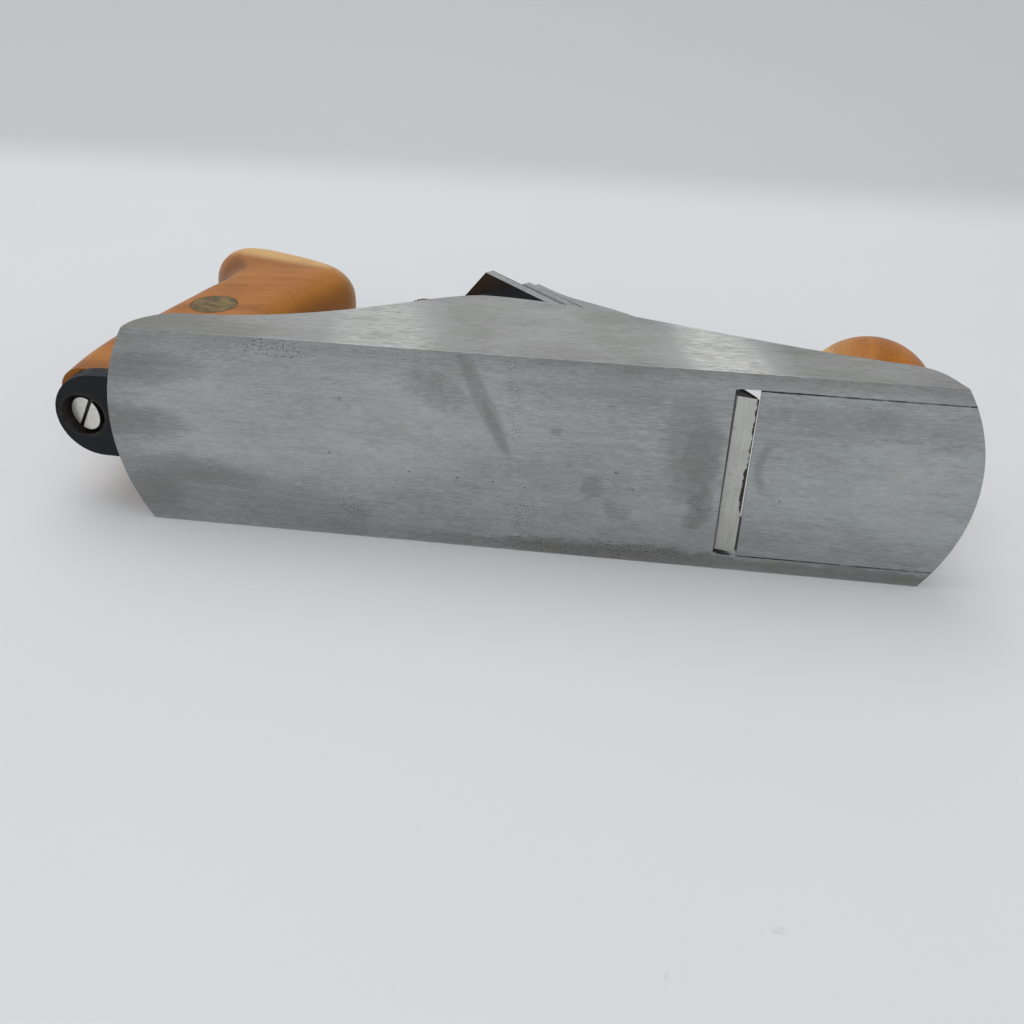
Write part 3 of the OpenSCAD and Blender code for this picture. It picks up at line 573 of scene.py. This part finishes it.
def plate_steel(name, colour, turn, lines=(2600, 60, 2600), rough=0.33, grime=0.35, edge=None):
    """Ground plate of the blade set. The grinding runs across it, and grime gathers in spots."""
    m = Finish(name, Metallic=1.0)
    where = m.place()
    along = m.turned(where, turn)
    fine = m.noise(along, lines, 2.0, 0.6)
    cloud = m.noise(where, 70, 4.0, 0.6, 0.5)
    spots = m.noise(where, 330, 4.0, 0.65).ease(0.56, 0.7)
    shade = (fine - 0.5) * 0.8 + (cloud - 0.5) * 0.8 + 0.5
    base = m.mix(shade.ease(0.0, 1.0), tuple(c * 0.6 for c in colour),
                 tuple(min(1.0, c * 1.25) for c in colour))
    base = m.mix(spots * grime, base, tint(88, 74, 60))
    value = rough + (cloud - 0.5) * 0.18 + spots * 0.15
    x, y, z = m.split(where)
    nx, ny, nz = m.split(m.facing())
    foot = bed(0, 0, 0)
    up = (z - x) * HALF - (foot.z - foot.x) * HALF
    off = (z + x) * HALF - (foot.z + foot.x) * HALF
    if edge is not None:
        # Painted light makes the bevel brighter, and the long face under the blade is darker:
        # blue-grey lower down, brown higher up
        base = m.mix(up.ease(7 * MM, 4.5 * MM) * 0.4, base, tint(206, 202, 192))
        under = ((nx + nz) * -HALF).ease(0.85, 0.96) * up.ease(12 * MM, 20 * MM)
        underside_colour = m.mix((up + (cloud - 0.5) * (16 * MM)).ease(117 * MM, 126 * MM),
                     tint(48, 56, 63), tint(68, 54, 49))
        base = m.mix(under * 0.88, base, underside_colour)
        # Crud packs against the cutting edge, thickest near the middle
        height = (abs(y - 4.5 * MM).ease(10 * MM, 3 * MM) * 1.3 + 0.5
                  + (m.noise(where, (300, 520, 300), 4.0, 0.75) - 0.5) * 2.8) * (edge * 0.36 * MM)
        crud = (height - up).ease(-0.1 * MM, 0.2 * MM)
        base = m.mix(crud * 0.92, base, tint(38, 33, 29))
        value = value + crud * 0.35
    # Dark line where the blade and the cap iron meet
    joint = abs(off - 0.2 * MM).ease(0.75 * MM, 0.45 * MM) * abs(ny).ease(0.5, 0.9)
    base = m.mix(joint * 0.9, base, tint(30, 28, 27))
    return m.set(Base_Color=base, Roughness=value.most(0.15).least(0.85),
                 Normal=m.bump(fine + cloud * 0.3, 0.15, 0.05 * MM))


def turned_metal(name, colour, rough=0.3, tarnish=0.3, slotted=False):
    """Small turned piece: fine tool marks all round, and tarnish in clouds. The slot of the tote
    bolt is darkened with depth, as painted shade."""
    m = Finish(name, Metallic=1.0)
    where = m.place()
    marks = m.noise(where, 900, 3.0, 0.6)
    cloud = m.noise(where, 180, 4.0, 0.6, 0.6)
    base = m.mix(((marks - 0.5) * 0.6 + (cloud - 0.5) * 0.9 + 0.5).ease(0.0, 1.0),
                 tuple(c * 0.62 for c in colour), tuple(min(1.0, c * 1.2) for c in colour))
    patch = cloud.ease(0.48, 0.7)
    base = m.mix(patch * tarnish, base, tint(92, 78, 52))
    value = rough + patch * 0.14 + (marks - 0.5) * 0.12
    if slotted:
        # Painted shade in the slot of the tote bolt, darker with depth
        x, z = m.split(where)[::2]
        head, rake = at(BOLT_AT[0], 0, BOLT_AT[1]), math.radians(BOLT_RAKE)
        depth = (x - head.x) * math.sin(rake) + (z - head.z) * math.cos(rake)
        base = m.mix(depth.ease(0.25 * MM, 0.7 * MM) * 0.9, base, tint(34, 31, 29))
    return m.set(Base_Color=base, Roughness=value.most(0.12).least(0.9),
                 Normal=m.bump(marks, 0.12, 0.04 * MM))


def blasted_steel(name, colour):
    """Bead-blasted steel with a dull even grain."""
    m = Finish(name, Metallic=1.0)
    where = m.place()
    grain = m.noise(where, 3600, 2.0, 0.6)
    cloud = m.noise(where, 60, 4.0, 0.6, 0.4)
    smear = m.noise(where, (40, 200, 40), 3.0, 0.6).ease(0.5, 0.72)
    base = m.mix(((grain - 0.5) * 0.7 + (cloud - 0.5) * 0.6 + 0.5).ease(0.0, 1.0),
                 tuple(c * 0.66 for c in colour), tuple(min(1.0, c * 1.2) for c in colour))
    base = m.mix(smear * 0.25, base, tint(104, 98, 90))
    return m.set(Base_Color=base, Roughness=(0.46 + (cloud - 0.5) * 0.16 - smear * 0.08),
                 Normal=m.bump(grain, 0.3, 0.04 * MM))


def casting_paint(name):
    """Satin black paint over a casting, bare and machined where the blade beds."""
    m = Finish(name, Specular_IOR_Level=0.22)
    where = m.place()
    x, y, z = m.split(where)
    orange = m.noise(where, 520, 3.0, 0.6)
    dust = m.noise(where, 130, 4.0, 0.7).ease(0.55, 0.75)
    paint = tuple(values("paint").paint)
    base = m.mix(orange.ease(0.3, 0.8), paint, tuple(c * 1.5 for c in paint))
    base = m.mix(dust * 0.1, base, tint(104, 96, 88))
    off = ((x - bed(0, 0, 0).x) + (z - bed(0, 0, 0).z)) * HALF
    bare = off.ease((BED_OFF - 0.04) * MM, (BED_OFF + 0.02) * MM)
    # Old grease in and round the recess of the tote bolt
    dx = x - at(BOLT_AT[0]).x
    reach = (dx * dx + y * y) ** 0.5
    grease = reach.ease(8.2 * MM, 6.4 * MM) * orange.ease(0.3, 0.6)
    base = m.mix(grease * 0.45, base, tint(66, 54, 42))
    turned = m.noise(m.turned(where, -45.0), (2200, 60, 2200), 2.0, 0.6)
    metal = m.mix(turned, tint(112, 114, 116), tint(176, 178, 180))
    base = m.mix(bare, base, metal)
    rough = (0.4 + (orange - 0.5) * 0.2 + dust * 0.15) * (1.0 - bare) + bare * 0.34
    peel = m.bump(orange + m.noise(where, 1500, 2.0) * 0.4, 0.3, 0.12 * MM)
    return m.set(Base_Color=base, Metallic=bare, Roughness=rough, Normal=peel)


def plane_wood(name, turned_knob):
    """Oiled fruitwood with pale sapwood at one side. Its grain runs along the tote, turned a
    little, and stands upright in the knob."""
    wood = values("wood")
    m = Finish(name, Specular_IOR_Level=0.2, Coat_Roughness=0.25, IOR=1.45)
    where = m.place()
    x, z = m.split(where)[::2]
    nx = m.split(m.facing())[0]
    along = where if turned_knob else m.turned(where, 8.0)
    fibre = (2400, 2400, 130) if turned_knob else (130, 2400, 2400)
    band = (120, 120, 13) if turned_knob else (13, 120, 170)
    broad = (40, 40, 6) if turned_knob else (7, 40, 60)
    fibres = m.noise(along, fibre, 3.0, 0.6)
    pores = m.noise(along, tuple(n * 0.5 for n in fibre), 2.0, 0.5).ease(0.6, 0.72)
    bands = m.noise(along, band, 4.0, 0.6, 0.5)
    wide = m.noise(along, broad, 3.0, 0.5, 0.8)
    figure = m.noise(where, 60, 3.0, 0.5, 0.3)
    tone = (bands - 0.5) * 0.8 + (wide - 0.5) * 0.9 + (fibres - 0.5) * 0.4 + 0.42
    base = m.mix(tone.ease(0.1, 0.95), tuple(wood.heart), tuple(wood.deep_grain_and_shade))
    if turned_knob:
        pale = (x + (wide - 0.5) * 0.022).ease(at(42).x, at(28).x)
        base = m.mix(pale * 0.75, base, tuple(wood.pale))
        # Painted shade: the side of the knob that faces the toe is darker
        base = m.mix(nx.ease(0.3, 0.8) * 0.3, base, tuple(wood.deep_grain_and_shade))
    else:
        # Sapwood along the horn's top; painted shade in golden brown round the front, darker on the
        # nose and darker under the hook
        top = z + (bands - 0.5) * 0.004 + (wide - 0.5) * 0.007 + (x - at(-160).x) * 0.3
        pale = top.ease(114.5 * MM, 122.5 * MM)
        base = m.mix(pale * 0.85, base, tuple(wood.pale))
        front = nx.ease(0.1, 0.34) * z.ease(50 * MM, 80 * MM)
        base = m.mix(front * 0.65, base, tint(158, 102, 30))
        nose = (x + (wide - 0.5) * 0.012).ease(at(-156).x, at(-148).x) * nx.ease(0.5, 0.9)
        base = m.mix(nose * 0.5, base, tint(104, 60, 20))
        hook = nx.ease(-0.06, -0.3) * z.ease(104 * MM, 112 * MM)
        base = m.mix(hook * z.ease(130 * MM, 116 * MM) * 0.75, base,
                     tint(100, 57, 18))
        # Painted shade on the foot, darker down towards the casting
        foot = z.ease(22 * MM, 11 * MM)
        base = m.mix(foot * 0.5, base, tuple(c * 0.6 for c in wood.deep_grain_and_shade))
        # Dark line round the barrel nut
        dx, dz = x - at(NUT_AT[0]).x, z - NUT_AT[1] * MM
        round_nut = abs((dx * dx + dz * dz) ** 0.5 - (NUT_R + 0.18) * MM)
        base = m.mix(round_nut.ease(0.42 * MM, 0.12 * MM) * 0.8, base, tint(46, 32, 20))
    base = m.mix(pores * 0.35, base, tuple(c * 0.5 for c in wood.deep_grain_and_shade))
    base = m.mix(figure.ease(0.5, 0.75) * 0.2, base, tuple(c * 0.8 for c in wood.deep_grain_and_shade))
    rough = 0.4 + (fibres - 0.5) * 0.14 + pores * 0.12 + (figure - 0.5) * 0.1
    return m.set(Base_Color=base, Roughness=rough, Coat_Weight=0.12 + (figure - 0.5) * 0.06,
                 Normal=m.bump(fibres * 0.6 - pores, 0.12, 0.08 * MM))


def dull_disc(name):
    """Brass flush with the wood: tarnished, rubbed brighter in places and finely scratched."""
    m = Finish(name, Metallic=1.0)
    where = m.place()
    cloud = m.noise(where, 210, 4.0, 0.6, 0.5)
    scratch = m.noise(where, (260, 900, 1700), 3.0, 0.65)
    specks = m.noise(where, 900, 3.0, 0.7).ease(0.58, 0.72)
    dull = tuple(values("brass").dull)
    base = m.mix(((cloud - 0.5) * 2.2 + (scratch - 0.5) * 1.2 + 0.5).ease(0.0, 1.0),
                 tuple(c * 0.5 for c in dull), tuple(min(1.0, c * 1.4) for c in dull))
    base = m.mix(specks * 0.6, base, tint(58, 50, 34))
    return m.set(Base_Color=base, Roughness=0.4 + (cloud - 0.5) * 0.2 + specks * 0.15,
                 Normal=m.bump(scratch, 0.15, 0.05 * MM))


class PLANE_OT_castings(Operator):
    """Finishes the ground body and the toe plate that slides in it"""
    bl_idname = "plane.castings"
    bl_label = "Body and toe plate"

    def execute(self, context):
        width = values("edges").casting
        skin("body_casting", ground_steel("ground_body", True), width)
        skin("toe_plate", ground_steel("ground_toe_plate", False), width * 0.35)
        return {"FINISHED"}


class PLANE_OT_frog(Operator):
    """Finishes the painted frog with its tail"""
    bl_idname = "plane.frog"
    bl_label = "Frog"

    def execute(self, context):
        skin("frog", casting_paint("black_casting_paint"), values("edges").casting)
        return {"FINISHED"}


class PLANE_OT_wood(Operator):
    """Makes the wood of the tote and of the knob"""
    bl_idname = "plane.wood"
    bl_label = "Tote and knob"

    def execute(self, context):
        take_place("tote", tote_mesh(), plane_wood("tote_fruitwood", False))
        skin("front_knob", plane_wood("knob_fruitwood", True), values("edges").small,
             angle=50.0, crisp=50.0)
        return {"FINISHED"}


class PLANE_OT_blade(Operator):
    """Finishes the blade, the cap iron and the screw that joins them"""
    bl_idname = "plane.blade"
    bl_label = "Blade set"

    def execute(self, context):
        steel, width = values("steel"), values("edges").plate
        skin("blade_iron", plate_steel("blade_ground", tuple(steel.blade), -45.0, edge=1.6),
             width * 0.5)
        skin("cap_iron", plate_steel("cap_iron_ground", tuple(steel.blade), -45.0, rough=0.3),
             width)
        skin("cap_iron_screw", turned_metal("cap_screw_oxide", tuple(steel.dark)), width)
        return {"FINISHED"}


class PLANE_OT_lever_cap(Operator):
    """Finishes the lever cap, its screw and its wheel"""
    bl_idname = "plane.lever_cap"
    bl_label = "Lever cap"

    def execute(self, context):
        steel, width = values("steel"), values("edges").small
        skin("lever_cap", blasted_steel("lever_cap_blasted", tuple(steel.cap)),
             values("edges").plate, angle=30.0)
        skin("lever_cap_screw", turned_metal("lever_screw_turned", tuple(steel.dark)), width)
        skin("lever_cap_wheel", turned_metal("lever_wheel_brass", tuple(values("brass").bright)),
             width * 0.5)
        return {"FINISHED"}


class PLANE_OT_adjuster(Operator):
    """Finishes the pieces of the depth and side adjuster"""
    bl_idname = "plane.adjuster"
    bl_label = "Adjuster"

    def execute(self, context):
        steel, width = values("steel"), values("edges").small
        bright = tuple(values("brass").bright)
        # The adjuster wheel's brass is the dull brass at half its brightness
        half_dull_brass = tuple(c * 0.5 for c in values("brass").dull)
        skin("adjuster_wheel", turned_metal("adjuster_wheel_brass", half_dull_brass, 0.42), width * 0.5)
        skin("adjuster_barrel", turned_metal("adjuster_barrel_brass", bright, 0.34), width)
        skin("adjuster_carriage", turned_metal("carriage_oxide", tuple(steel.dark), 0.4), width)
        skin("adjuster_spindle", turned_metal("spindle_turned", tuple(steel.blade)), width)
        skin("spindle_collar", turned_metal("collar_turned", tuple(steel.cap), 0.36), width)
        return {"FINISHED"}


class PLANE_OT_fittings(Operator):
    """Finishes the bolt, the nut, the studs and the other small fittings"""
    bl_idname = "plane.fittings"
    bl_label = "Bolts, nuts and studs"

    def execute(self, context):
        steel, width = values("steel"), values("edges").small
        bright = tint(232, 229, 220)
        skin("tote_bolt", turned_metal("tote_bolt_bright", bright, 0.4, 0.15, slotted=True),
             width * 0.7)
        nut = skin("tote_barrel_nut", dull_disc("nut_dull_brass"), width * 0.5)
        for vertex in nut.data.vertices:
            # Its ends stand a hair proud of the tote's flat sides
            if abs(vertex.co.y) > (TOTE_HALF - 0.1) * MM:
                vertex.co.y *= 1.003
        skin("tote_dowel", turned_metal("dowel_ground", tuple(steel.blade)), width)
        skin("knob_stud", turned_metal("stud_turned", tuple(steel.blade)), width)
        skin("knob_washer", turned_metal("washer_turned", tuple(steel.blade), 0.38), width)
        skin("knob_insert", turned_metal("insert_brass_turned", tuple(values("brass").bright)),
             width)
        skin("mouth_stop_screw", turned_metal("stop_screw_oxide", tuple(steel.dark)), width)
        skin("frog_screws", turned_metal("frog_screw_oxide", tuple(steel.dark)), width)
        return {"FINISHED"}


def soft_light(name, place, size, power):
    """A round white light that faces the plane."""
    lamp = bpy.data.lights.new(name, "AREA")
    lamp.shape, lamp.size, lamp.energy = "DISK", size, power
    holder = bpy.data.objects.new(name, lamp)
    bpy.context.scene.collection.objects.link(holder)
    holder.location = place
    holder.rotation_mode = "QUATERNION"
    holder.rotation_quaternion = (Vector(LIGHT_AIM) - Vector(place)).to_track_quat("-Z", "Y")


def paper(name, colour):
    """Matt paper, seen from its front side only, so that views from behind aren't blocked."""
    m = Finish(name, Roughness=0.9, Specular_IOR_Level=0.15)
    where = m.place()
    cloud = m.noise(where, 7, 3.0, 0.5)
    fibres = m.noise(where, 900, 2.0, 0.6)
    base = m.mix(cloud * 0.7 + fibres * 0.3, tuple(c * 0.96 for c in colour),
                 tuple(min(1.0, c * 1.03) for c in colour))
    smudge = (m.noise(where, (34, 34, 60), 4.0, 0.6, 1.2).ease(0.66, 0.74)
              * m.noise(where, 260, 3.0, 0.7).ease(0.5, 0.7))
    base = m.mix(smudge * 0.35, base, tint(176, 170, 160))
    # Painted shade: the far part, which curves up behind, is darker
    far = m.split(where)[2].ease(0.38, 0.50)
    base = m.mix(far, base, tuple(c * 0.8 for c in colour))
    m.set(Base_Color=base)
    clear = m.tree.nodes.new("ShaderNodeBsdfTransparent")
    blend = m.tree.nodes.new("ShaderNodeMixShader")
    behind = m.add("ShaderNodeNewGeometry", out="Backfacing")
    shadow = m.add("ShaderNodeLightPath", out="Is Shadow Ray")
    # The wall that lies on the paper mirrors the room through it, for views from below
    touching = m.add("ShaderNodeLightPath", out="Ray Length").ease(3 * MM, 5 * MM, 1.0, 0.0)
    glossy = m.add("ShaderNodeLightPath", out="Is Glossy Ray")
    m.put(blend.inputs[0], behind.most(shadow).most(touching * glossy))
    m.tree.links.new(m.shader.outputs[0], blend.inputs[1])
    m.tree.links.new(clear.outputs[0], blend.inputs[2])
    m.tree.links.new(blend.outputs[0], m.output.inputs[0])
    return m.material


class PLANE_OT_studio(Operator):
    """Sets the camera, the paper floor that curves up behind, and the soft lights"""
    bl_idname = "plane.studio"
    bl_label = "Studio"

    def execute(self, context):
        studio = values("studio")
        camera = bpy.data.cameras.new("camera")
        camera.lens, camera.sensor_width = studio.lens, 36.0
        holder = bpy.data.objects.new("camera", camera)
        context.scene.collection.objects.link(holder)
        axes = (Vector(VIEW_RIGHT), -Vector(VIEW_DOWN), -Vector(VIEW_AHEAD))
        turn = Matrix(axes).transposed()
        holder.matrix_world = Matrix.Translation(studio.camera) @ turn.to_4x4()
        camera.clip_start, camera.clip_end = 0.01, 20.0
        context.scene.camera = holder

        # The paper: flat under the plane, then curved up behind it
        floor_y = REST_Y + 0.25 * MM
        run = [(PAPER_NEAR, 0.0), (PAPER_FOLD, 0.0)]
        for step in range(1, 13):
            a = math.radians(90 * step / 12)
            run.append((PAPER_FOLD + PAPER_CURVE * math.sin(a), -PAPER_CURVE * (1 - math.cos(a))))
        run.append((PAPER_FOLD + PAPER_CURVE, -PAPER_LIFT))
        shape = bmesh.new()
        rows = [[shape.verts.new((side, floor_y + lift, away)) for away, lift in run]
                for side in (-PAPER_HALF, PAPER_HALF)]
        for k in range(len(run) - 1):
            face = shape.faces.new((rows[0][k], rows[0][k + 1], rows[1][k + 1], rows[1][k]))
            face.smooth = True
        shape.normal_update()
        shape.faces.ensure_lookup_table()
        if shape.faces[0].normal.y > 0:
            bmesh.ops.reverse_faces(shape, faces=shape.faces)
        mesh = bpy.data.meshes.new("paper_floor")
        shape.to_mesh(mesh)
        shape.free()
        mesh.materials.append(paper("pale_paper", tuple(studio.floor)))
        floor = bpy.data.objects.new("paper_floor", mesh)
        context.scene.collection.objects.link(floor)

        soft_light("top_light", (-0.25, -1.25, 0.35), 1.3, studio.key)
        for name, place, size, share in SIDE_LIGHTS:
            soft_light(name, place, size, studio.fill * share)

        world = bpy.data.worlds.new("pale_room")
        context.scene.world = world
        world.use_nodes = True
        room = Maker(world.node_tree)
        seen = room.add("ShaderNodeLightPath")
        colour = room.mix(seen, tint(230, 233, 235), tint(205, 209, 212))
        back = room.add("ShaderNodeBackground", None,
                        {0: colour, 1: seen * (1.0 - studio.world) + studio.world})
        end = room.tree.nodes.new("ShaderNodeOutputWorld")
        room.tree.links.new(back.socket, end.inputs[0])
        context.scene.view_settings.view_transform = "Standard"
        return {"FINISHED"}


STEPS = (PLANE_OT_studio, PLANE_OT_castings, PLANE_OT_frog, PLANE_OT_wood, PLANE_OT_blade,
         PLANE_OT_lever_cap, PLANE_OT_adjuster, PLANE_OT_fittings)


class PLANE_PT_finishes(Panel):
    """Lists the steps and the values that they use"""
    bl_idname = "PLANE_PT_finishes"
    bl_label = "Smoothing plane"
    bl_space_type = "VIEW_3D"
    bl_region_type = "UI"
    bl_category = "Plane"

    def draw(self, context):
        for step in STEPS:
            self.layout.operator(step.bl_idname)
        for name, group in PLACES:
            box = self.layout.box()
            for key in group.__annotations__:
                box.prop(getattr(context.scene, "plane_" + name), key)


CLASSES = tuple(group for _, group in PLACES) + STEPS + (PLANE_PT_finishes,)


def register():
    for item in CLASSES:
        bpy.utils.register_class(item)
    for name, group in PLACES:
        setattr(bpy.types.Scene, "plane_" + name, PointerProperty(type=group))


def unregister():
    for name, _ in PLACES:
        delattr(bpy.types.Scene, "plane_" + name)
    for item in reversed(CLASSES):
        bpy.utils.unregister_class(item)


def main():
    register()
    for step in STEPS:
        area, verb = step.bl_idname.split(".")
        getattr(getattr(bpy.ops, area), verb)()


if __name__ == "__main__":
    main()
